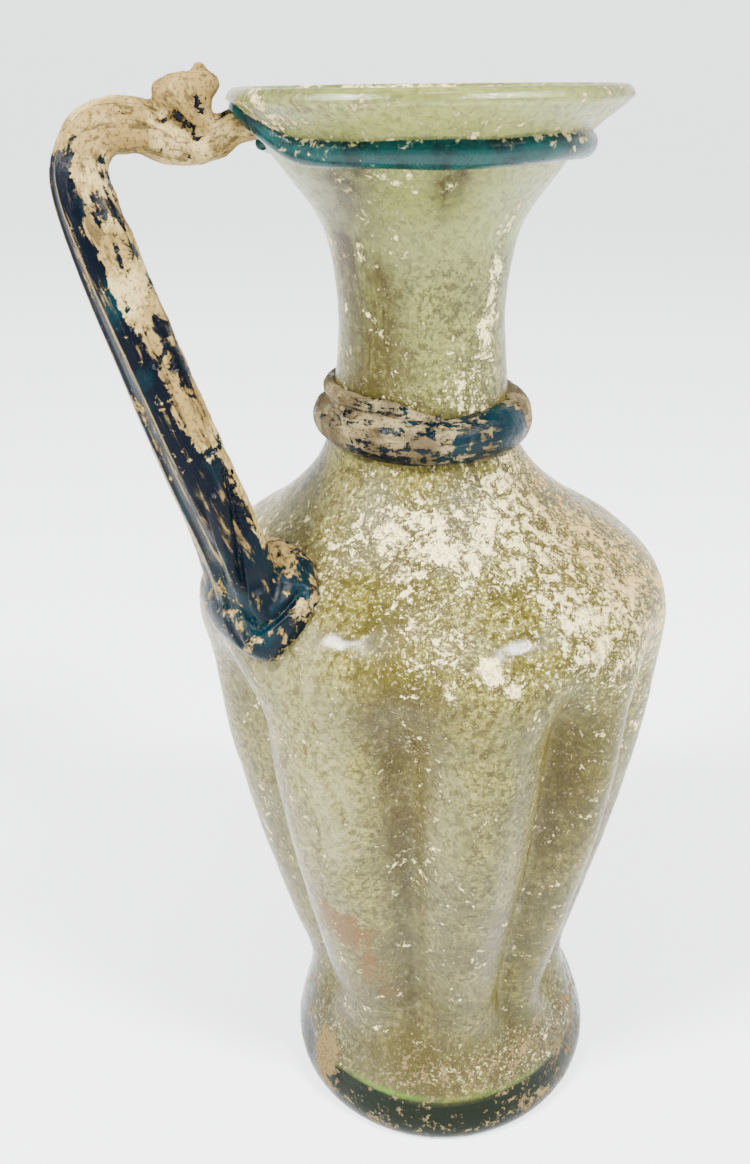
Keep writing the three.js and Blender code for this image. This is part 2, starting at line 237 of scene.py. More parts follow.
def make_mesh(name, points, faces, marks):
    mesh = bpy.data.meshes.new(name)
    mesh.from_pydata((np.asarray(points) * MM).tolist(), [], faces)
    mesh.polygons.foreach_set("use_smooth", np.ones(len(mesh.polygons), bool))
    for label, values in marks.items():
        layer = mesh.attributes.new(label, "FLOAT", "POINT")
        layer.data.foreach_set("value", np.asarray(values, np.float32))
    return mesh


def make_object(name, points, faces, marks, material):
    mesh = make_mesh(name, points, faces, marks)
    mesh.materials.append(material)
    piece = bpy.data.objects.new(name, mesh)
    bpy.context.scene.collection.objects.link(piece)
    return piece


around = np.linspace(0.0, 360.0, COLUMNS, endpoint=False)
share = np.linspace(0.0, 1.0, OUTER_ROWS)
radius, height = outline_at(share, 0.0)
outer_direction = np.tile(around, OUTER_ROWS)
outer_height = np.repeat(height, COLUMNS)
outer_points = bent(np.repeat(radius, COLUMNS), outer_height, outer_direction)

# Low swellings of the blown wall, the lump of crust on the foot and the blob on the shoulder
swelling = 0.16 * lumps(outer_points, 13.0, 2, 1) + 0.05 * lumps(outer_points, 3.1, 3, 2)
swelling = np.clip(swelling, -SWELLING, SWELLING)
raised_spots = [
    (-84, 10.5, 7, 4.2, 1.3),
    (-80, 7.0, 5, 3.0, 0.9),
    (-20, 120.8, 1.9, 1.5, 0.8),
    (-16, 117.6, 1.3, 1.0, 0.4),
]
raised = patches(outer_height, outer_direction, raised_spots)
raised = np.minimum(raised, SKIN + CRUST_LUMP)
lift = swelling * rise(outer_height, 0.0, 6.0) - SKIN + raised * 0.9
low_r, low_h = outline_at(np.repeat(share, COLUMNS), lift)
outer_points = bent(low_r, np.maximum(low_h, 0.0), outer_direction)
outer_points[:COLUMNS, 2] = 0.0

roll = LIP_THICKNESS / 2
angle = np.repeat(np.linspace(0.0, np.pi, LIP_ROWS + 1)[1:], COLUMNS)
lip_direction = np.tile(around, LIP_ROWS)
lip_radius = RIM_RADIUS - roll + (roll - SKIN) * np.cos(angle)
lip_height = RIM_HEIGHT - roll + (roll - SKIN) * np.sin(angle)
lip_points = bent(lip_radius, lip_height, lip_direction)

share = np.linspace(0.965, 0.115, INNER_ROWS)
wall_share = outline_at(share, 0.0)[1] / RIM_HEIGHT
wall = mix(FOOT_WALL, WALL, rise(wall_share, 0.05, 0.16))
radius, height = outline_at(share, -wall)
fall = height[-1] - BASE_THICKNESS
radius = np.append(radius, [radius[-1] - 0.15 * fall, radius[-1] - 0.6 * fall, radius[-1] / 2])
height = np.append(height, [BASE_THICKNESS + 0.4 * fall, BASE_THICKNESS + 0.08 * fall, BASE_THICKNESS])
inner_direction = np.tile(around, len(radius))
inner_height = np.repeat(height, COLUMNS)
inner_points = bent(np.repeat(radius, COLUMNS), inner_height, inner_direction)

vessel_rings = np.vstack([outer_points, lip_points, inner_points])
vessel_height = np.concatenate([outer_height, lip_height, inner_height])
vessel_direction = np.concatenate([outer_direction, lip_direction, inner_direction])
inside = np.repeat([0.0, 1.0], [len(outer_points) + len(lip_points), len(inner_points)])
underside_middle = [0.0, 0.0, 0.0]
base_middle = inner_points[-COLUMNS:].mean(0)
vessel_points = np.vstack([vessel_rings, [underside_middle], [base_middle]])
vessel_height = np.append(vessel_height, [0.0, BASE_THICKNESS])
vessel_direction = np.append(vessel_direction, [0.0, 0.0])
inside = np.append(inside, [0.0, 1.0])
vessel_rows = len(vessel_rings) // COLUMNS
vessel_faces = ring_grid(vessel_rows, COLUMNS, len(vessel_rings), len(vessel_rings) + 1)

# Where the weathering lies: flakes on the shoulder and neck, film on the left lobe, stains and
# painted shade in the flutes, painted shade low on the body and at the foot's sides, rust low on
# the left, a clear flare, and the dark solid base with a painted highlight along its top edge
h, d = vessel_height, vessel_direction
drift = lumps(vessel_points, 26.0, 3, 3)
crust = patches(h, d, [
    (-38, 134, 34, 11, 0.16), (6, 130, 28, 13, 0.18), (38, 126, 22, 17, 0.24), (95, 128, 50, 14, 0.20),
    (165, 126, 60, 13, 0.18), (-140, 128, 40, 12, 0.10), (44, 142, 30, 7, 0.16), (12, 118, 16, 9, 0.14),
    (-30, 122, 30, 5, 0.08), (45, 100, 12, 24, 0.08), (0, 158, 22, 9, 0.17), (-45, 154, 20, 5, 0.08),
    (60, 197, 30, 5, 0.24), (-80, 196, 12, 4, 0.26), (-50, 198.5, 22, 1.8, 0.12), (28, 192, 22, 3, 0.16),
    (-6, 16.5, 40, 5.5, 0.20), (40, 12, 24, 7, 0.22), (-100, 16, 10, 5, 0.12),
    (-25, 3.5, 26, 2.6, 0.12), (5, 5, 20, 4, 0.16), (120, 12, 45, 7, 0.2),
    (-160, 13, 40, 6, 0.14), (150, 176, 40, 16, 0.12), (130, 196, 50, 5, 0.16), (-170, 197, 40, 4, 0.16),
])
crust = np.minimum(crust, 0.24) + patches(h, d, [
    (21, 174, 7, 13, 0.30), (16, 164, 8, 7, 0.12), (-84, 10.5, 7, 5.5, 0.75),
    (-20, 120.8, 2.2, 1.8, 0.9), (-16, 117.6, 1.6, 1.2, 0.6), (-39, 104.5, 3.0, 5, 0.16),
    (-55, 3.5, 5, 1.6, 0.30), (-62, 128, 5, 2.5, 0.2), (-27, 133, 6, 2.5, 0.16),
    (-46, 136, 5, 2.0, 0.16), (-2, 137, 6, 2.5, 0.14), (8, 124, 6, 2.5, 0.14),
])
crust += 0.05 * drift - 0.5 * inside
pink = patches(h, d, [
    (36, 126, 26, 14, 0.9), (48, 138, 26, 10, 0.6), (-84, 10, 12, 9, 1.0), (40, 10, 30, 9, 0.6),
    (60, 196, 40, 6, 0.7), (120, 128, 60, 14, 0.5), (-60, 198, 30, 3, 0.6),
])
film = patches(h, d, [
    (-60, 92, 13, 26, 0.95), (-64, 118, 14, 9, 0.45), (-30, 84, 6, 26, 0.45), (-22, 100, 12, 20, 0.28),
    (-4, 88, 5, 26, 0.55), (-104, 96, 12, 30, 0.35), (-96, 136, 26, 9, 0.55), (-62, 38, 8, 20, 0.45),
    (100, 90, 22, 34, 0.45), (150, 80, 20, 30, 0.5), (-150, 92, 26, 34, 0.5), (-30, 36, 18, 10, 0.35),
    (-24, 126, 12, 6, 0.25), (60, 84, 10, 30, 0.3),
])
film += 0.14 * drift
# Real stains on the neck and shoulder, and painted shade down each of the eight flutes
stain_and_shade = patches(h, d, [
    (-41, 93, 6.5, 33, 1.6), (-38, 112, 12, 7, 0.7), (4, 86, 9, 29, 1.1), (-101, 90, 7, 34, 0.5),
    (-27, 78, 4, 20, 0.3), (-52, 45, 14, 20, 0.3), (-92, 178, 12, 10, 0.5), (-80, 165, 12, 14, 0.6),
    (-22, 187, 7, 4, 0.9), (-58, 190, 14, 4, 0.7), (-60, 160, 16, 16, 0.35), (-20, 150, 20, 6, 0.3),
    (-84, 120, 20, 10, 0.35), (30, 66, 10, 30, 0.35), (72, 86, 8, 30, 0.6), (118, 86, 8, 30, 0.6),
    (163, 86, 8, 30, 0.6), (217, 86, 8, 30, 0.6), (140, 168, 60, 16, 0.3), (-60, 130, 18, 5, 0.35),
    (-78, 166, 20, 16, 1.0), (-62, 168, 16, 14, 0.7), (-20, 188, 8, 5, 0.9), (-66, 187, 14, 5, 0.5),
    (-40, 156, 14, 6, 0.3), (10, 132, 20, 6, 0.3),
])
# Painted shade: darker towards the bottom of the body, and above the solid base on the left
stain_and_shade += 0.5 * (1 - rise(h, 24, 82)) + patches(h, d, [(-50, 18, 26, 6, 0.4)])
rust = patches(h, d, [
    (-66, 63, 6, 4, 1.0), (-59, 58, 8, 5, 1.0), (-56, 48, 6, 6, 0.8), (-52, 38, 7, 6, 0.7),
    (-92, 63, 5, 12, 0.5), (10, 62, 10, 16, 0.35), (6, 100, 10, 14, 0.35), (-50, 124, 14, 4, 0.35),
    (-60, 197, 16, 3, 0.6), (24, 30, 16, 12, 0.4), (100, 60, 20, 14, 0.4), (-165, 50, 24, 16, 0.4),
])
clear = 0.2 + 0.24 * rise(h, 146, 160) + 0.3 * rise(h, 172, 186) + 0.1 * (1 - rise(h, 24, 44))
clear += 0.08 * drift - 0.08 * rise(h, 60, 110) * (1 - rise(h, 130, 150))
base_line = BASE_LINE + 0.25 * np.sin(np.radians(3 * d))
dark_base_and_side_shade = 1 - rise(h, base_line - 1.6, base_line - 0.7)
# Painted shade: the foot darkened at its two sides as seen from the camera, added to the dark solid base
painted_shade_sides = [(54, 12, 22, 11, 1.3), (-108, 13, 20, 12, 1.4), (140, 8, 60, 6, 0.8)]
dark_base_and_side_shade = np.maximum(dark_base_and_side_shade, 0.55 * patches(h, d, painted_shade_sides))
# A painted highlight: a thin bright green line along the top edge of the solid base, strongest on the left
painted_highlight_line = np.exp(-(((h - base_line + 0.75) / 0.36) ** 2))
painted_base_highlight = painted_highlight_line * (0.08 + patches(h, d, [(-50, 12, 15, 9, 1.0), (-12, 12, 18, 9, 0.35)]))
wet = patches(h, d, [
    (-53, 124.7, 8, 4.4, 1.4), (-13, 124.4, 8, 3.8, 1.4), (-28, 131, 4, 1.8, 0.8), (-8, 126.5, 3, 1.6, 0.8),
    (-30, 199.5, 30, 1.2, 0.8), (60, 126, 6, 2.5, 0.6), (150, 124, 7, 2.5, 0.8),
])
vessel_marks = {
    "wet": np.clip(wet, 0, 1), "low": 1 - rise(h, 19, 27), "bright": rise(crust, 0.02, 0.16),
    "crust": crust, "pink": np.clip(pink, 0, 1), "film": np.clip(film, 0, 1), "stain_and_shade": np.clip(stain_and_shade, 0, 1),
    "rust": np.clip(rust, 0, 1), "clear": np.clip(clear, 0, 1), "dark_base_and_side_shade": dark_base_and_side_shade * (1 - inside), "painted_base_highlight": painted_base_highlight,
}


def plug(tree, value, socket):
    if isinstance(value, bpy.types.NodeSocket):
        tree.links.new(value, socket)
    else:
        socket.default_value = value


def mark(tree, label):
    node = tree.nodes.new("ShaderNodeAttribute")
    node.attribute_name = label
    return node.outputs["Fac"]


def place(tree, stretch=(1.0, 1.0, 1.0)):
    """Where a point of the glass lies, so that a pattern keeps to it"""
    node = tree.nodes.new("ShaderNodeTexCoord")
    spread = tree.nodes.new("ShaderNodeMapping")
    spread.inputs["Scale"].default_value = stretch
    tree.links.new(node.outputs["Object"], spread.inputs["Vector"])
    return spread.outputs["Vector"]


def grain(tree, where, size, detail, roughness=0.6, distortion=0.0):
    """Cloudy pattern with lumps of the given size in mm, between 0 and 1"""
    node = tree.nodes.new("ShaderNodeTexNoise")
    tree.links.new(where, node.inputs["Vector"])
    node.inputs["Scale"].default_value = 1000.0 / size
    node.inputs["Detail"].default_value = detail
    node.inputs["Roughness"].default_value = roughness
    node.inputs["Distortion"].default_value = distortion
    return node.outputs["Fac"]


def reckon(tree, what, a, b):
    node = tree.nodes.new("ShaderNodeMath")
    node.operation = what
    plug(tree, a, node.inputs[0])
    plug(tree, b, node.inputs[1])
    return node.outputs[0]


def times(tree, a, b):
    return reckon(tree, "MULTIPLY", a, b)


def plus(tree, total, *more):
    for value in more:
        total = reckon(tree, "ADD", total, value)
    return total


def rest_of(tree, value, share=1.0):
    """What is left of one when a share of the value is taken from it"""
    return reckon(tree, "SUBTRACT", 1.0, times(tree, value, share))


def edge(tree, value, low, high, start=0.0, end=1.0):
    """A soft step from one value to another where the input passes from low to high"""
    node = tree.nodes.new("ShaderNodeMapRange")
    node.interpolation_type = "SMOOTHSTEP"
    tree.links.new(value, node.inputs["Value"])
    node.inputs["From Min"].default_value = low
    node.inputs["From Max"].default_value = high
    node.inputs["To Min"].default_value = start
    node.inputs["To Max"].default_value = end
    return node.outputs["Result"]


def tint(tree, share, a, b):
    """A colour between two others"""
    node = tree.nodes.new("ShaderNodeMix")
    node.data_type = "RGBA"
    plug(tree, share, node.inputs[0])
    for value, socket in ((a, node.inputs[6]), (b, node.inputs[7])):
        plug(tree, (*value, 1.0) if isinstance(value, tuple) else value, socket)
    return node.outputs[2]


def blend(tree, share, a, b):
    """A number between two others"""
    node = tree.nodes.new("ShaderNodeMix")
    plug(tree, share, node.inputs[0])
    plug(tree, a, node.inputs[2])
    plug(tree, b, node.inputs[3])
    return node.outputs[0]


def relief(tree, value, depth, strength, shader):
    """Fine bumps of the given depth in mm"""
    node = tree.nodes.new("ShaderNodeBump")
    node.inputs["Distance"].default_value = depth * MM
    plug(tree, strength, node.inputs["Strength"])
    tree.links.new(value, node.inputs["Height"])
    tree.links.new(node.outputs["Normal"], shader.inputs["Normal"])


def new_finish(name):
    material = bpy.data.materials.new(name)
    material.use_nodes = True
    return material, material.node_tree, material.node_tree.nodes["Principled BSDF"]


PALE_GREEN = (0.22, 0.19, 0.034)
OLIVE = (0.075, 0.068, 0.010)
CLEAR_GREEN = (0.50, 0.55, 0.16)
CHALK = (0.285, 0.262, 0.122)
# Brown of the stains, also the colour of the painted shade in the flutes and low on the body
BROWN_STAIN_AND_SHADE = (0.043, 0.029, 0.006)
RUST_BROWN = (0.11, 0.054, 0.002)
BOTTLE_GREEN = (0.002, 0.005, 0.0008)
# Green of the painted highlight along the solid base's top edge
HIGHLIGHT_GREEN = (0.07, 0.19, 0.003)
CREAM = (0.85, 0.74, 0.36)
PINK_CRUST = (0.50, 0.35, 0.14)
EARTH_CRUST = (0.13, 0.088, 0.036)

green_glass, tree, shader = new_finish("weathered green glass")
where = place(tree)
upright = place(tree, (1.0, 1.0, 0.28))
broad = grain(tree, where, 14.0, 8.0, 0.68)
flaky = grain(tree, where, 2.9, 10.0, 0.7, 0.6)
fine = grain(tree, where, 0.62, 6.0, 0.75)
speck = grain(tree, where, 1.3, 8.0, 0.72, 0.3)
streaks = grain(tree, upright, 4.0, 9.0, 0.72, 0.6)

# Flakes lie where the crust mark and the grain are strong, with a brown edge beside them
flakes = plus(tree, flaky, times(tree, mark(tree, "crust"), 0.62))
for pattern, weight in ((broad, 0.3), (speck, 0.85), (fine, 0.45)):
    flakes = plus(tree, flakes, times(tree, reckon(tree, "SUBTRACT", pattern, 0.5), weight))
flakes = reckon(tree, "SUBTRACT", flakes, times(tree, mark(tree, "wet"), 0.25))
beside = edge(tree, flakes, 0.53, 0.63)
flakes = edge(tree, flakes, 0.64, 0.675)

haze = times(tree, mark(tree, "film"), edge(tree, streaks, 0.32, 0.6, 0.3, 1.15))
# The stains and the painted shade in the flutes and low on the body, broken into streaks
stained_and_shaded = times(tree, mark(tree, "stain_and_shade"), edge(tree, streaks, 0.38, 0.58, 0.55, 1.0))
rusty = edge(tree, plus(tree, times(tree, mark(tree, "rust"), 0.32), flaky), 0.67, 0.74)
bare = edge(tree, mark(tree, "clear"), 0.26, 0.62)
dusty = times(tree, edge(tree, bare, 0.0, 1.0, 1.0, 0.4), edge(tree, haze, 0.1, 0.9, 1.0, 0.45))
ringed = times(tree, beside, edge(tree, mark(tree, "crust"), 0.05, 0.2, 0.0, 0.8))

# The glass under its film and stains, with painted shade in the flutes and low on the body
colour = tint(tree, edge(tree, broad, 0.40, 0.60), PALE_GREEN, OLIVE)
colour = tint(tree, edge(tree, streaks, 0.45, 0.62, 0.0, 0.6), colour, OLIVE)
colour = tint(tree, times(tree, bare, 0.85), colour, CLEAR_GREEN)
colour = tint(tree, haze, colour, CHALK)
colour = tint(tree, stained_and_shaded, colour, BROWN_STAIN_AND_SHADE)

# Specks over it, dark and then pale, then the rust, the solid base with painted shade at its sides, and a
# painted highlight along its top edge
pale_speck = tint(tree, blend(tree, mark(tree, "bright"), 0.14, 0.9), colour, CREAM)
for share, shade in (
    (times(tree, dusty, edge(tree, speck, 0.49, 0.56, 0.0, 0.9)), BROWN_STAIN_AND_SHADE),
    (times(tree, dusty, edge(tree, fine, 0.51, 0.57, 0.0, 0.9)), OLIVE),
    (times(tree, dusty, edge(tree, speck, 0.42, 0.36)), pale_speck),
    (times(tree, dusty, edge(tree, fine, 0.43, 0.37)), pale_speck),
    (ringed, BROWN_STAIN_AND_SHADE),
    (rusty, RUST_BROWN),
    (mark(tree, "dark_base_and_side_shade"), BOTTLE_GREEN),
    (mark(tree, "painted_base_highlight"), HIGHLIGHT_GREEN),
):
    colour = tint(tree, share, colour, shade)

flake_colour = tint(tree, mark(tree, "pink"), CREAM, PINK_CRUST)
flake_colour = tint(tree, times(tree, mark(tree, "low"), 0.92), flake_colour, EARTH_CRUST)
flake_colour = tint(tree, edge(tree, fine, 0.48, 0.62, 0.0, 0.75), flake_colour, BROWN_STAIN_AND_SHADE)
tree.links.new(tint(tree, flakes, colour, flake_colour), shader.inputs["Base Color"])

dull = blend(tree, haze, 0.14, 0.42)
for share, roughness in (
    (edge(tree, speck, 0.45, 0.62, 0.0, 0.6), 0.46),
    (mark(tree, "dark_base_and_side_shade"), 0.08),
    (times(tree, mark(tree, "wet"), 0.9), 0.06),
    (flakes, 0.82),
):
    dull = blend(tree, share, dull, roughness)
tree.links.new(dull, shader.inputs["Roughness"])

see_through = mark(tree, "clear")
for cover, hold in ((flakes, 1.0), (haze, 0.5), (stained_and_shaded, 0.5), (mark(tree, "dark_base_and_side_shade"), 1.0)):
    see_through = times(tree, see_through, rest_of(tree, cover, hold))
tree.links.new(see_through, shader.inputs["Transmission Weight"])
shader.inputs["IOR"].default_value = 1.5
shader.inputs["Specular IOR Level"].default_value = 0.08

bumps = plus(tree, times(tree, flakes, 0.7), times(tree, speck, 0.35), times(tree, fine, 0.15))
relief(tree, bumps, 0.5, reckon(tree, "SUBTRACT", 0.7, times(tree, mark(tree, "wet"), 0.66)), shader)

vessel = make_object("vessel_glass", vessel_points, vessel_faces, vessel_marks, green_glass)
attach(vessel, "root")
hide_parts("vessel")

# The trail under the rim
# A thread of teal glass wound once round the flare while hot, thin where it starts beside
# the handle. It is half sunk in the pale glass and fused to it.
TRAIL_THICKNESS = 4.4
TRAIL_DROP = 8.2
TRAIL_TURN = 348.0
TRAIL_SUNK = 0.6
TRAIL_STEPS = 420
TRAIL_SIDES = 28


def ripple(direction, waves, shift=0):
    return np.sin(np.radians(direction * waves + shift))


def tube_points(centres, radii, sides):
    """Rings of a tube along a line, from upright cross-sections"""
    way = np.gradient(centres, axis=0)
    way /= np.linalg.norm(way, axis=1)[:, None]
    side = np.cross(np.array([0.0, 0.0, 1.0]), way)
    side /= np.linalg.norm(side, axis=1)[:, None]
    above = np.cross(way, side)
    turn = np.linspace(0, 2 * np.pi, sides, endpoint=False)
    ring = side[:, None] * np.cos(turn)[None, :, None] + above[:, None] * np.sin(turn)[None, :, None]
    return centres[:, None] + ring * radii[:, None, None]


def closed_tube(rings):
    rows, sides = rings.shape[:2]
    points = np.vstack([rings.reshape(-1, 3), [rings[0].mean(0)], [rings[-1].mean(0)]])
    return points, ring_grid(rows, sides, rows * sides, rows * sides + 1)


def vessel_place(points):
    """Each point's height on the upright form, its bearing and its distance from the axis"""
    level = points[:, 2].copy()
    for _ in range(3):
        flat = points - axis_at(level)
        flat[:, 2] = 0.0
        level = points[:, 2] + rim_slope(level) * (flat @ bearing(np.float64(LEAN_BEARING)))
    direction = np.degrees(np.arctan2(flat[:, 0], -flat[:, 1]))
    return level, direction, np.linalg.norm(flat, axis=1)


def kept_outside(points, depth):
    """Holds the points out of the vessel, all but the given depth into its wall"""
    level, direction, distance = vessel_place(points)
    least = radius_at(level) - groove(level, direction) - rim_dent(level, direction) - depth
    push = np.where(level < RIM_HEIGHT, np.maximum(least - distance, 0.0), 0.0)
    return points + bearing(direction) * push[:, None]


share = np.linspace(0.0, 1.0, TRAIL_STEPS)
trail_direction = HANDLE_TOP_BEARING + 2 + TRAIL_TURN * share
climb = TRAIL_DROP * 0.62 * (1 - rise(share, 0.0, 0.1))
taper = mix(0.5, 1.0, np.minimum(rise(share, 0.0, 0.09), 1 - rise(share, 0.95, 1.0)))
wander = 0.18 * ripple(trail_direction, 3, 40) + 0.12 * ripple(trail_direction, 7)
trail_level = RIM_HEIGHT - TRAIL_DROP + climb + wander
trail_centres = on_vessel(trail_level, trail_direction, np.full(TRAIL_STEPS, -0.1))
swell = 0.94 + 0.05 * ripple(trail_direction, 2, 80) + 0.03 * ripple(trail_direction, 9)
trail_rings = tube_points(trail_centres, TRAIL_THICKNESS / 2 * taper * swell, TRAIL_SIDES)
trail_points, trail_faces = closed_tube(trail_rings)
trail_points = kept_outside(trail_points, TRAIL_SUNK)
level, direction = vessel_place(trail_points)[:2]
own_height = np.append(np.repeat(trail_centres[:, 2], TRAIL_SIDES), trail_centres[[0, -1], 2])
# Pale crust along the top edge of the trail, which also stands as a painted highlight along that edge
top_crust_and_highlight = rise(trail_points[:, 2] - own_height, 0.2, 2.0)
trail_crust = 0.16 * top_crust_and_highlight + patches(level, direction, [
    (-80, 192, 22, 20, 0.12), (20, 192, 14, 20, 0.16), (-50, 192, 12, 20, 0.05), (150, 192, 70, 20, 0.12),
])
trail_marks = {"crust": trail_crust + 0.04 * lumps(trail_points, 9.0, 3, 4)}

DEEP_TEAL = (0.0004, 0.018, 0.020)
BRIGHT_TEAL = (0.0003, 0.052, 0.048)
TEAL_CRUST = (0.42, 0.36, 0.17)

teal_glass, tree, shader = new_finish("teal glass trail")
where = place(tree)
cloud = grain(tree, where, 5.0, 6.0, 0.6, 0.4)
flaky = grain(tree, where, 1.7, 9.0, 0.7, 0.3)
fine = grain(tree, where, 0.6, 4.0, 0.65)
flakes = edge(tree, plus(tree, flaky, times(tree, mark(tree, "crust"), 0.7)), 0.665, 0.71)
colour = tint(tree, edge(tree, cloud, 0.38, 0.62), DEEP_TEAL, BRIGHT_TEAL)
colour = tint(tree, edge(tree, fine, 0.6, 0.68, 0.0, 0.6), colour, DEEP_TEAL)
colour = tint(tree, flakes, colour, TEAL_CRUST)
tree.links.new(colour, shader.inputs["Base Color"])
shine = blend(tree, edge(tree, flaky, 0.4, 0.6), 0.08, 0.3)
tree.links.new(blend(tree, flakes, shine, 0.8), shader.inputs["Roughness"])
tree.links.new(times(tree, rest_of(tree, flakes), 0.3), shader.inputs["Transmission Weight"])
shader.inputs["IOR"].default_value = 1.52
shader.inputs["Specular IOR Level"].default_value = 0.08
relief(tree, plus(tree, times(tree, flakes, 0.6), times(tree, flaky, 0.4)), 0.3, 0.5, shader)

trail = make_object("rim_trail_glass", trail_points, trail_faces, trail_marks, teal_glass)
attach(trail, "root")
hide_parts("rim_trail")

# The coil round the neck
# A thick thread of dark blue glass laid in two turns where the neck meets the shoulder: a
# thin first turn on top, and a thick one under it. The end is pressed in on the right.
COIL_THICKNESS = 9.0
COIL_TURN_THICKNESS = 3.0
COIL_HEIGHT = 148.6
COIL_SUNK = 0.5
COIL_VOXEL = 0.36
COIL_STEPS = 200
COIL_SIDES = 40
FIRST_TURN_STEPS = 260
FIRST_TURN_SIDES = 20
# How fast the fine combing of the crust repeats across the strap, in radians per metre
COMB_WAVES = 3600.0


def fused(parts, voxel, smoothing):
    """Several closed forms melted into one skin of even facets: its points and faces"""
    points = []
    faces = []
    for part_points, part_faces in parts:
        start = len(points)
        points.extend(np.asarray(part_points).tolist())
        faces.extend([[i + start for i in face] for face in part_faces])
    rough = bpy.data.objects.new("rough", make_mesh("rough", points, faces, {}))
    bpy.context.scene.collection.objects.link(rough)
    melt = rough.modifiers.new("melt", "REMESH")
    melt.mode = "VOXEL"
    melt.voxel_size = voxel * MM
    soften = rough.modifiers.new("soften", "SMOOTH")
    soften.factor = 0.5
    soften.iterations = smoothing
    ready = rough.evaluated_get(bpy.context.evaluated_depsgraph_get())
    mesh = ready.to_mesh()
    count = len(mesh.vertices)
    flat = np.zeros(count * 3)
    mesh.vertices.foreach_get("co", flat)
    skin_faces = [list(p.vertices) for p in mesh.polygons]
    ready.to_mesh_clear()
    old = rough.data
    bpy.data.objects.remove(rough)
    bpy.data.meshes.remove(old)
    return flat.reshape(-1, 3) / MM, skin_faces


def normals_of(points, faces):
    """The way each point of a skin faces"""
    quads = np.array([face if len(face) == 4 else face + face[-1:] for face in faces])
    across = points[quads[:, 2]] - points[quads[:, 0]]
    along = points[quads[:, 3]] - points[quads[:, 1]]
    facing = np.cross(across, along)
    total = np.zeros_like(points)
    for i in range(4):
        np.add.at(total, quads[:, i], facing)
    return total / np.maximum(np.linalg.norm(total, axis=1), 1e-12)[:, None]


thick = COIL_THICKNESS / 2
thin = COIL_TURN_THICKNESS / 2


def coil_turn(start, end):
    """A length of the thick turn, between two shares of the way round"""
    share = np.linspace(start, end, COIL_STEPS)
    direction = 40 + 360 * share
    swell = 0.86 + 0.06 * np.cos(np.radians(direction - 60)) + 0.02 * ripple(direction, 5)
    level = COIL_HEIGHT + COIL_THICKNESS * mix(0.055, -0.045, share) + 0.15 * ripple(direction, 3)
    centres = on_vessel(level, direction, np.full(COIL_STEPS, -0.08 * thick))
    return closed_tube(tube_points(centres, thick * swell, COIL_SIDES))


share = np.linspace(0.0, 1.0, FIRST_TURN_STEPS)
direction = -20 - 205 * share
centres = on_vessel(np.full(FIRST_TURN_STEPS, COIL_HEIGHT), direction, np.zeros(FIRST_TURN_STEPS))
centres[:, 2] += mix(0.75 * thick, thick + 0.4 * thin, rise(share, 0.0, 0.2))
radii = 0.94 * thin * mix(0.55, 1.0, rise(share, 0.0, 0.15))
first_turn = closed_tube(tube_points(centres, radii, FIRST_TURN_SIDES))
coil_points, coil_faces = fused([coil_turn(0.0, 0.53), coil_turn(0.5, 1.03), first_turn], COIL_VOXEL, 2)
coil_points = kept_outside(coil_points, COIL_SUNK)
level, direction, distance = vessel_place(coil_points)
outward = normals_of(coil_points, coil_faces)

# A fine groove is drawn along the front of the thick turn, where two strands met
groove_level = 150.9 - 1.6 * rise(direction, -110, -30)
grooved = np.exp(-(((coil_points[:, 2] - groove_level) / 0.45) ** 2))
grooved *= rise(direction, -115, -95) * (1 - rise(direction, -42, -30))
outer_side = rise(distance - radius_at(level), 1.0, 2.5)
coil_points = coil_points - outward * (0.55 * grooved * outer_side)[:, None]
coil_points = coil_points + outward * (0.10 * lumps(coil_points, 3.2, 4, 5) - 0.08)[:, None]
coil_crust = patches(coil_points[:, 2], direction, [
    (-100, 149, 30, 12, 0.26), (-60, 150.5, 18, 3, 0.16), (-35, 148, 16, 6, 0.20), (-8, 147, 14, 5, 0.06),
    (22, 150, 9, 6, -0.30), (45, 149, 16, 8, 0.30), (-30, 145.5, 16, 2.2, -0.1), (130, 149, 60, 9, 0.2),
    (-170, 149, 40, 9, 0.2),
])
coil_crust += 0.10 * rise(coil_points[:, 2], 149.5, 153.5) + 0.08 * lumps(coil_points, 8.0, 3, 6)
coil_blue = patches(coil_points[:, 2], direction, [(22, 150, 14, 7, 1.0), (-12, 147, 18, 5, 0.8)])
run = np.radians(direction) * (NECK_RADIUS + thick)
coil_marks = {
    "crust": coil_crust, "blue": np.clip(coil_blue, 0, 1), "combed": np.zeros(len(coil_points)),
    "run": run * MM, "across": level * MM, "out": distance * MM,
}

NAVY = (0.0008, 0.0022, 0.0055)
INK_TEAL = (0.0005, 0.013, 0.018)
TAN_CRUST = (0.26, 0.175, 0.055)
PALE_CRUST = (0.46, 0.345, 0.14)
UMBER = (0.05, 0.032, 0.010)
MAUVE_CRUST = (0.085, 0.065, 0.032)
FAWN_CRUST = (0.22, 0.175, 0.085)


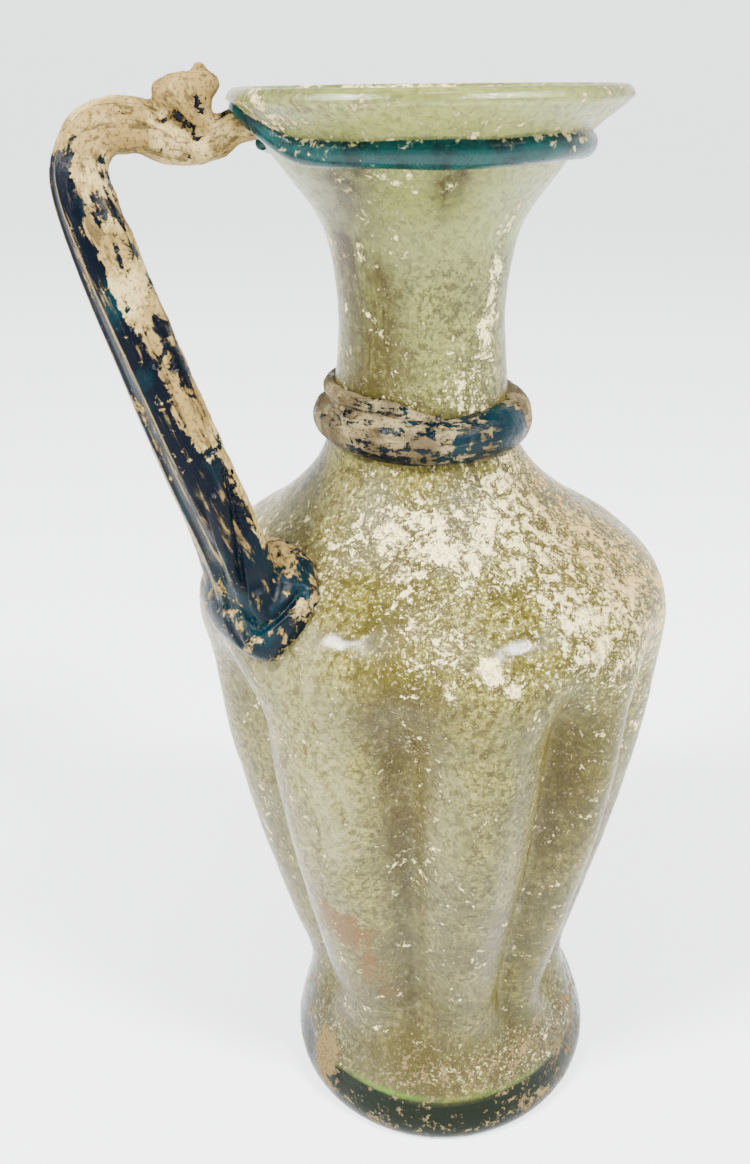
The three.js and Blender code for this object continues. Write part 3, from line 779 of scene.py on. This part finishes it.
def navy_finish(name, crust_colour, pale_colour, size):
    """Near-black blue glass under a broken skin of crust, drawn out along the piece"""
    material, tree, shader = new_finish(name)
    where = place(tree)
    cloud = grain(tree, where, 7.0, 6.0, 0.6, 0.4)
    flaky = grain(tree, where, size, 10.0, 0.72, 0.5)
    fine = grain(tree, where, 0.6, 5.0, 0.75)
    lengthwise = tree.nodes.new("ShaderNodeCombineXYZ")
    for i, way in enumerate((times(tree, mark(tree, "run"), 0.22), mark(tree, "across"), mark(tree, "out"))):
        plug(tree, way, lengthwise.inputs[i])
    speck = grain(tree, lengthwise.outputs[0], 1.2, 8.0, 0.72, 0.3)
    combing = reckon(tree, "SINE", times(tree, mark(tree, "across"), COMB_WAVES), 0.0)
    combing = times(tree, combing, mark(tree, "combed"))
    uneven = times(tree, reckon(tree, "SUBTRACT", speck, 0.5), 0.7)
    flakes = edge(tree, plus(tree, flaky, times(tree, mark(tree, "crust"), 0.8), uneven), 0.6, 0.64)
    glass = tint(tree, edge(tree, cloud, 0.54, 0.68), NAVY, INK_TEAL)
    glass = tint(tree, mark(tree, "blue"), glass, INK_TEAL)
    glass = tint(tree, edge(tree, speck, 0.56, 0.66, 0.0, 0.6), glass, crust_colour)
    # A painted highlight: the raised crests of the combed ribs drawn in the crust's paler colour
    rib_crest_highlight = times(tree, edge(tree, combing, 0.5, 0.95), edge(tree, speck, 0.4, 0.56, 0.0, 0.8))
    glass = tint(tree, rib_crest_highlight, glass, crust_colour)
    crusty = tint(tree, edge(tree, cloud, 0.46, 0.62), crust_colour, pale_colour)
    crusty = tint(tree, edge(tree, speck, 0.5, 0.4, 0.0, 0.8), crusty, UMBER)
    crusty = tint(tree, edge(tree, fine, 0.5, 0.62, 0.0, 0.75), crusty, UMBER)
    tree.links.new(tint(tree, flakes, glass, crusty), shader.inputs["Base Color"])
    shine = blend(tree, edge(tree, speck, 0.4, 0.62), 0.08, 0.34)
    tree.links.new(blend(tree, flakes, shine, 0.78), shader.inputs["Roughness"])
    bumps = plus(tree, times(tree, flakes, 0.6), times(tree, speck, 0.4))
    bumps = plus(tree, bumps, times(tree, fine, 0.15), times(tree, combing, 0.35))
    relief(tree, bumps, 0.5, 0.7, shader)
    shader.inputs["IOR"].default_value = 1.52
    shader.inputs["Specular IOR Level"].default_value = 0.1
    return material


coil_glass = navy_finish("crusted blue coil", MAUVE_CRUST, FAWN_CRUST, 2.2)
coil = make_object("neck_coil_glass", coil_points, coil_faces, coil_marks, coil_glass)
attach(coil, "root")
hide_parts("neck_coil")

# The handle
# One strap of dark blue glass, combed with ribs down its outer face. It was pressed on the
# shoulder as a pad, drawn up and over to the rim, and its end folded back as a thumb rest.
HANDLE_REACH = 56.2
HANDLE_FOOT_BEARING = -82.0
STRAP_WIDTH = 10.4
STRAP_THICKNESS = 7.2
RIB_DEPTH = 0.55
PAD_THICKNESS = 6.5
PAD_HEIGHT = 0.624
THUMB_REST_RISE = 9.6
HANDLE_SUNK = 0.45
HANDLE_VOXEL = 0.36
# How much thinner than the solid the strap is made, to leave room for its lumps of crust
TRIM = 0.3
STRAP_STEPS = 300
STRAP_SIDES = 64
REST_STATION = 2.2
REST_STEPS = 60
REST_SIDES = 40
NUB_SHARE = 0.17
PAD_SIDES = 80

# Share of the reach, height as a share of the rim's, share of the way from the top bearing
# to the foot bearing, width and thickness against the strap's own
strap_stations = np.array([
    [0.51, 0.972, 0.0, 0.65, 0.6],
    [0.6, 0.969, 0.0, 0.72, 0.7],
    [0.665, 0.96, 0.01, 0.84, 0.82],
    [0.755, 0.959, 0.02, 0.92, 0.92],
    [0.85, 0.97, 0.03, 0.98, 1.08],
    [0.94, 0.967, 0.05, 1.02, 1.1],
    [0.988, 0.95, 0.1, 1.04, 1.1],
    [0.995, 0.928, 0.17, 1.08, 1.2],
    [0.956, 0.881, 0.31, 1.14, 1.31],
    [0.9, 0.818, 0.5, 1.2, 1.34],
    [0.84, 0.748, 0.69, 1.27, 1.38],
    [0.79, 0.694, 0.82, 1.38, 1.38],
    [0.764, 0.655, 0.91, 1.55, 1.3],
    [0.76, 0.625, 0.99, 1.65, 1.1],
    [0.75, 0.602, 1.08, 1.1, 0.8],
])


def strap_at(share):
    """Centre, bearing, width and thickness at shares of the strap's length"""
    last = len(strap_stations) - 1
    at = np.clip(np.asarray(share, float) * last, 0, last)
    k = np.minimum(at.astype(int), last)
    t = (at - k)[:, None]
    p0, p1 = strap_stations[np.maximum(k - 1, 0)], strap_stations[k]
    p2, p3 = strap_stations[np.minimum(k + 1, last)], strap_stations[np.minimum(k + 2, last)]
    v0, v1 = (p2 - p0) / 2, (p3 - p1) / 2
    row = (2 * p1 - 2 * p2 + v0 + v1) * t**3 + (-3 * p1 + 3 * p2 - 2 * v0 - v1) * t**2 + v0 * t + p1
    direction = mix(HANDLE_TOP_BEARING, HANDLE_FOOT_BEARING, row[:, 2])
    centre = bearing(direction) * (HANDLE_REACH * row[:, 0])[:, None]
    centre[:, 2] = RIM_HEIGHT * row[:, 1]
    return centre, direction, STRAP_WIDTH * row[:, 3], STRAP_THICKNESS * row[:, 4]


def band_rings(centre, direction, width, thickness, way, ribs, sides):
    """Rounded flat sections along a line, ribbed on the outer face"""
    side = bearing(direction + 90)
    side = side - way * (side * way).sum(1)[:, None]
    side /= np.linalg.norm(side, axis=1)[:, None]
    face = np.cross(way, side)
    face /= np.linalg.norm(face, axis=1)[:, None]
    turn = 2 * np.pi * (np.arange(sides) + 0.5) / sides
    across = np.sign(np.cos(turn)) * np.abs(np.cos(turn)) ** 0.75
    out = np.sign(np.sin(turn)) * np.abs(np.sin(turn)) ** 0.75
    wave = np.where(out > 0, np.cos(4.6 * np.pi * across / 2), 0.0)[None] * ribs[:, None]
    rings = centre[:, None] + side[:, None] * (width[:, None] / 2 * across[None])[..., None]
    rings = rings + face[:, None] * (thickness[:, None] / 2 * out[None] + wave)[..., None]
    return rings, side, face


share = np.linspace(0.0, 1.0, STRAP_STEPS)
centre, strap_direction, width, thickness = strap_at(share)
way = np.gradient(centre, axis=0)
way /= np.linalg.norm(way, axis=1)[:, None]
ribs = np.full(STRAP_STEPS, RIB_DEPTH)
rings, strap_side, strap_face = band_rings(centre, strap_direction, width - TRIM, thickness - TRIM,
                                           way, ribs, STRAP_SIDES)
strap = closed_tube(rings)
strap_centre, strap_width, strap_thickness, strap_share = centre, width, thickness, share

# The folded end: a short thick lobe rising off the strap over the rim, with a nub on top
root_share = REST_STATION / (len(strap_stations) - 1)
root_centre, root_direction = (value[0] for value in strap_at([root_share])[:2])
rest_stations = flowing([
    (0.0, -0.06, 0.6, 0.5),
    (0.07, 0.18, 0.8, 0.72),
    (0.25, 0.38, 0.92, 1.0),
    (0.35, 0.58, 1.0, 1.2),
    (0.28, 0.77, 0.95, 1.38),
    (0.17, 0.92, 0.78, 1.1),
    (0.1, 1.0, 0.45, 0.55),
], REST_STEPS)
rest_direction = np.full(REST_STEPS, root_direction)
centre = root_centre + bearing(rest_direction) * (STRAP_THICKNESS * rest_stations[:, 0])[:, None]
centre[:, 2] += THUMB_REST_RISE * rest_stations[:, 1]
straight_up = np.tile([0.0, 0.0, 1.0], (REST_STEPS, 1))
rings = band_rings(centre, rest_direction, STRAP_WIDTH * rest_stations[:, 2] - TRIM,
                   STRAP_THICKNESS * rest_stations[:, 3] - TRIM, straight_up, np.zeros(REST_STEPS),
                   REST_SIDES)[0]
thumb_rest = closed_tube(rings)
tip = centre[-1] - bearing(np.float64(root_direction)) * 0.11 * STRAP_THICKNESS
arc = np.linspace(0.02, np.pi - 0.02, 16)
nub_centres = tip + np.stack([0 * arc, 0 * arc, -np.cos(arc)], -1) * STRAP_THICKNESS * NUB_SHARE
turn = np.linspace(0, 2 * np.pi, 20, endpoint=False)
nub_ring = np.stack([np.cos(turn), np.sin(turn), 0 * turn], -1)
nub_radii = STRAP_THICKNESS * NUB_SHARE * np.sin(arc)
nub = closed_tube(nub_centres[:, None] + nub_ring[None] * nub_radii[:, None, None])

# The pad: turns and drops of its edge from the middle, in degrees and shares of the height
pad_edge = np.array([
    (20, 0.014), (19.5, -0.004), (17, -0.018), (14, -0.031), (4, -0.03), (-6, -0.024), (-16, -0.012),
    (-17, 0.006), (-10, 0.026), (2, 0.031), (12, 0.028), (20, 0.014),
])
even_scale = (1.0, 700.0)
pad_edge = flowing(pad_edge * even_scale, PAD_SIDES + 1)[:-1] / even_scale
pad_shares = np.sin(np.linspace(np.pi / 2, 0.12, 16))
pad_dome = [(s, PAD_THICKNESS * (0.2 + 0.76 * np.sqrt(1 - s * s))) for s in pad_shares]
pad_rings = []
for share_out, lift in [(0.5, -0.4), (1.0, -0.4)] + pad_dome:
    level = RIM_HEIGHT * (PAD_HEIGHT + pad_edge[:, 1] * share_out)
    pad_direction = HANDLE_FOOT_BEARING + pad_edge[:, 0] * share_out
    pad_rings.append(on_vessel(level, pad_direction, np.full(PAD_SIDES, lift)))
pad = closed_tube(np.array(pad_rings))

handle_points, handle_faces = fused([strap, thumb_rest, nub, pad], HANDLE_VOXEL, 2)
handle_points = kept_outside(handle_points, HANDLE_SUNK)
outward = normals_of(handle_points, handle_faces)

# Where each point of the skin lies on the strap: how far along, and how far out or sideways
nearest = np.array([np.argmin(((strap_centre - p) ** 2).sum(1)) for p in handle_points])
offset = handle_points - strap_centre[nearest]
out_share = (offset * strap_face[nearest]).sum(1) / (strap_thickness[nearest] / 2)
side_share = (offset * strap_side[nearest]).sum(1) / (strap_width[nearest] / 2)
along = strap_share[nearest]

# Creases pressed into the strap's foot: each a line of points, its half width and its depth
creases = [
    ([(-43.9, -6.6, 148.3), (-44.1, -8.7, 142.7), (-44.5, -10.3, 137.7), (-45.3, -11.5, 132.2),
      (-44.9, -11.8, 126.6), (-44.5, -13.8, 124.8), (-42.5, -14.8, 126.0), (-39.8, -15.0, 127.8),
      (-37.0, -14.2, 129.5)], 0.75, 1.2),
    ([(-49.0, -7.3, 144.9), (-48.1, -7.9, 138.3), (-47.1, -7.0, 132.0), (-46.8, -8.2, 126.3),
      (-46.6, -12.2, 122.0)], 0.6, 0.6),
    ([(-43.1, -15.2, 124.7), (-40.5, -15.6, 126.6), (-37.6, -15.3, 128.0)], 0.8, -0.6),
    ([(-47.1, -8.0, 144.7), (-46.7, -9.5, 138.6), (-46.3, -10.2, 133.1), (-45.6, -10.0, 126.8),
      (-45.9, -13.2, 123.1)], 0.7, -0.5),
    ([(-42.4, -12.5, 131.4), (-39.9, -12.6, 129.9), (-41.8, -13.6, 128.6)], 2.2, 0.7),
    ([(-43.8, 9.3, 195.3), (-41.8, 9.1, 195.6), (-40.2, 9.0, 194.4), (-38.5, 7.9, 192.8)], 0.8, 1.2),
]
creased = np.zeros(len(handle_points))
sunk = np.zeros(len(handle_points))
for line, half_width, depth in creases:
    line = flowing(line, 40)
    away = np.min(((handle_points[:, None] - line[None]) ** 2).sum(2), axis=1)
    press = np.exp(-away / half_width**2)
    creased += depth * press
    sunk = np.maximum(sunk, press * (depth > 0.65) * (half_width < 1))

navy_edge = mix(0.30, -0.45, rise(along, 0.6, 0.88))
pad_side = rise(along, 0.82, 0.9) * (1 - rise(handle_points[:, 2], 134.0, 142.0))
ragged_share = out_share + 0.12 * lumps(handle_points, 6.0, 3, 11)
navy = rise(ragged_share, navy_edge - 0.12, navy_edge + 0.12) * rise(along, 0.40, 0.5)
navy = np.maximum(navy, 0.85 * pad_side)
handle_crust = 0.30 - 0.31 * navy + 0.06 * pad_side + 0.16 * rise(0.46 - along, 0.0, 0.1)
handle_crust += 0.12 * lumps(handle_points, 8.0, 3, 7)
for *middle, size in (
    (-53.4, 6.9, 184.6, 2.6), (-50.2, 5.3, 178.6, 1.6), (-48.6, 0.3, 168.2, 2.0), (-46.7, -1.6, 161.9, 1.8),
    (-45.7, -6.9, 148.8, 2.2), (-45.5, -8.2, 144.4, 3.0), (-43.8, -9.2, 141.2, 2.6), (-49.6, 4.0, 175.0, 1.4),
):
    handle_crust -= 0.26 * np.exp(-((handle_points - np.array(middle)) ** 2).sum(1) / size**2)
handle_crust -= 0.25 * sunk
handle_blue = rise(along, 0.76, 0.95) * (0.25 + 0.75 * rise(lumps(handle_points, 6.0, 2, 8), -0.1, 0.4))
pitted = rise(lumps(handle_points, 2.4, 4, 9), 0.34, 0.66)
rough = rise(handle_crust, 0.0, 0.25)
handle_relief = (0.20 * lumps(handle_points, 3.6, 5, 10) - 0.3 * pitted) * rough - 0.15 - creased
handle_points = handle_points + outward * handle_relief[:, None]
run = along * np.linalg.norm(np.diff(strap_centre, axis=0), axis=1).sum()
handle_marks = {
    "crust": handle_crust - 0.22 * pitted * rough, "blue": np.clip(handle_blue, 0, 1),
    "combed": navy * (1 - pad_side), "run": run * MM, "across": side_share * STRAP_WIDTH / 2 * MM,
    "out": out_share * STRAP_THICKNESS / 2 * MM,
}

handle_glass = navy_finish("crusted blue handle", TAN_CRUST, PALE_CRUST, 2.8)
handle = make_object("handle_glass", handle_points, handle_faces, handle_marks, handle_glass)
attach(handle, "root")
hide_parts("handle")

# The floor
# A plain pale matt sheet that the jug stands on, a hair under its foot. Far from the jug it
# curves up all round, and it gives off some light, so that it looks white behind the jug.
FLOOR_FLAT = 1600.0
FLOOR_CURVE = 1400.0
FLOOR_STEEPEST = 80.0
FLOOR_GAP = 0.05
FLOOR_ROWS = 48
FLOOR_SIDES = 96

floor_glaze, tree, shader = new_finish("pale floor")
shader.inputs["Base Color"].default_value = (0.85, 0.86, 0.87, 1.0)
shader.inputs["Roughness"].default_value = 0.7
shader.inputs["Emission Color"].default_value = (0.96, 0.98, 1.0, 1.0)
shader.inputs["Emission Strength"].default_value = 1.5
floor_glaze.cycles.emission_sampling = "NONE"

turn = np.linspace(0, 2 * np.pi, FLOOR_SIDES, endpoint=False)
curve = np.radians(np.linspace(0, FLOOR_STEEPEST, FLOOR_ROWS))
reach = FLOOR_FLAT + FLOOR_CURVE * np.sin(curve)
climb = FLOOR_CURVE - FLOOR_CURVE * np.cos(curve) - FLOOR_GAP
sweep = np.stack([np.outer(reach, np.cos(turn)), np.outer(reach, np.sin(turn)),
                  np.outer(climb, np.ones(FLOOR_SIDES))], -1)
sweep = np.vstack([sweep.reshape(-1, 3), [[0.0, 0.0, -FLOOR_GAP]]])
middle = len(sweep) - 1
rings = ring_grid(FLOOR_ROWS, FLOOR_SIDES, middle, middle)
sweep_faces = [face[::-1] for face in rings if len(face) == 4]
sweep_faces += [[middle, j, (j + 1) % FLOOR_SIDES] for j in range(FLOOR_SIDES)]
floor = make_object("floor", sweep, sweep_faces, {}, floor_glaze)

# Light
# A pale room, a soft lamp on the left, on the right and overhead, and a wide dim window on
# each side. The lamps hang on a dome round the middle of the jug's body.
LAMP_LIFT = 0.12

world = bpy.data.worlds.new("pale room")
world.use_nodes = True
world.node_tree.nodes["Background"].inputs["Color"].default_value = (0.93, 0.97, 1.0, 1.0)
world.node_tree.nodes["Background"].inputs["Strength"].default_value = 0.42
bpy.context.scene.world = world


def soft_lamp(name, direction, elevation, distance, size, power):
    """A square lamp that faces the jug, in metres and watts"""
    up = np.radians(elevation)
    spot = np.append(bearing(np.float64(direction))[:2] * np.cos(up), np.sin(up)) * distance
    lamp = bpy.data.lights.new(name, "AREA")
    lamp.size = size
    lamp.energy = power
    holder = bpy.data.objects.new(name, lamp)
    holder.location = Vector(spot) + Vector((0.0, 0.0, LAMP_LIFT))
    holder.rotation_euler = Vector(-spot).to_track_quat("-Z", "Y").to_euler()
    bpy.context.scene.collection.objects.link(holder)


soft_lamp("left lamp", -87, 48, 1.1, 0.2, 30.0)
soft_lamp("right lamp", 21, 50, 1.1, 0.2, 26.0)
soft_lamp("overhead lamp", -6, 78, 1.2, 0.18, 4.0)
soft_lamp("left window", -110, 35, 1.3, 0.8, 3.0)
soft_lamp("right window", 75, 40, 1.3, 0.8, 2.0)

# The camera
# It stands where the photograph was taken from, level with the rim and looking down, with
# a little roll. Its place is in metres.
CAMERA_PLACE = (-0.09520, -0.14253, 0.20120)
PITCH = np.radians(26.574)
ROLL = np.radians(-0.7098)
ahead = np.array([0.5446, 0.8387, 0.0])
right = np.array([0.8387, -0.5446, 0.0])
skyward = np.array([0.0, 0.0, 1.0])
forward = np.cos(PITCH) * ahead - np.sin(PITCH) * skyward
upward = np.sin(PITCH) * ahead + np.cos(PITCH) * skyward
image_right = np.cos(ROLL) * right - np.sin(ROLL) * upward
image_down = -np.sin(ROLL) * right - np.cos(ROLL) * upward
camera_data = bpy.data.cameras.new("camera")
camera_data.lens = 31.393
camera_data.sensor_width = 36.0
camera_data.shift_x = -0.0528
camera_data.clip_start = 0.01
camera = bpy.data.objects.new("camera", camera_data)
turned = np.stack([image_right, -image_down, -forward], 1)
facing = Matrix(turned.tolist()).to_quaternion()
camera.matrix_world = Matrix.LocRotScale(Vector(CAMERA_PLACE), facing, None)
bpy.context.scene.collection.objects.link(camera)
bpy.context.scene.camera = camera
